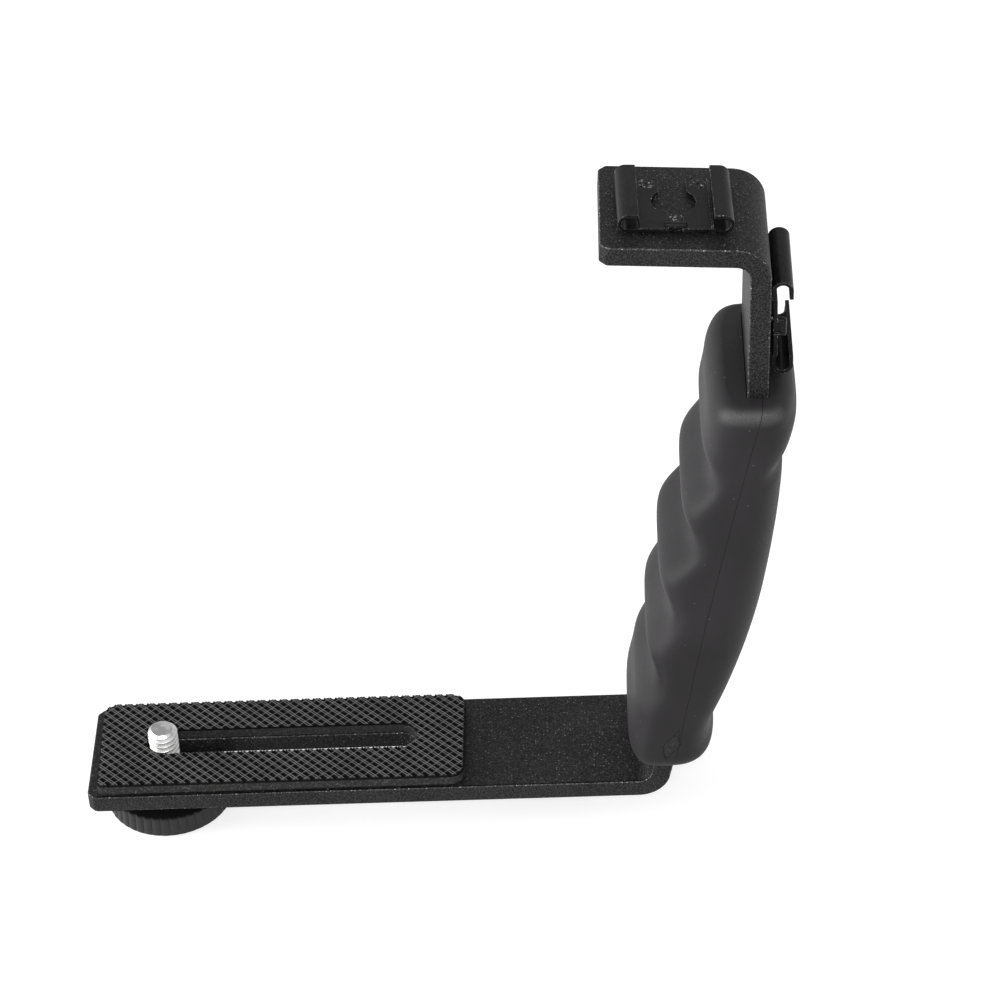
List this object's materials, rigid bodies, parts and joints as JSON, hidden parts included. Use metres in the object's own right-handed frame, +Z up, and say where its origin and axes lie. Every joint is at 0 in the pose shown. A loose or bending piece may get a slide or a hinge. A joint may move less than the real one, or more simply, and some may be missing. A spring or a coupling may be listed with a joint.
{
  "type": "camera flash bracket",
  "caption": "Bent flat-bar camera bracket with a slotted padded base, sliding thumb screw, moulded hand grip and accessory shoes on its top and side.",
  "frame": {"origin": "middle of the footprint, level with the bottom of the thumb screw's knob", "axes": "+X along the base from its free end to the grip, +Y from the front of the bracket to its rear, +Z up out of the camera pad"},
  "size_m": [0.149, 0.0368, 0.153],
  "materials": {
    "powder_coat": "fine-grained black powder coat",
    "pad_rubber": "black rubber with a diamond net",
    "grip_rubber": "matte charcoal moulded rubber",
    "shoe_black": "smooth satin black",
    "screw_black": "blackened steel",
    "knob_plastic": "matte black plastic",
    "bright_steel": "bright plated steel",
    "nylon": "black nylon"
  },
  "bodies": {
    "bracket": {"bracket_bar": "powder_coat", "camera_pad": "pad_rubber", "grip": "grip_rubber", "top_shoe": "shoe_black", "side_shoe": "shoe_black", "top_shoe_screw_rear_left": "screw_black", "top_shoe_screw_rear_right": "screw_black", "top_shoe_screw_front": "screw_black", "side_shoe_screw_rear_left": "screw_black", "side_shoe_screw_rear_right": "screw_black", "side_shoe_screw_front": "screw_black"},
    "slide_washer": {"screw_washer": "nylon"},
    "thumb_screw": {"knob": "knob_plastic", "screw_stud": "bright_steel"}
  },
  "joints": [
    {"name": "slot_slide", "type": "slide", "parent": "bracket", "child": "slide_washer", "axis": [1, 0, 0], "range_m": [0, 0.05015]},
    {"name": "screw_spin", "type": "hinge", "parent": "slide_washer", "child": "thumb_screw", "pos_m": [-0.05898, 0, 0.0081], "axis": [0, 0, 1], "continuous": true}
  ]
}
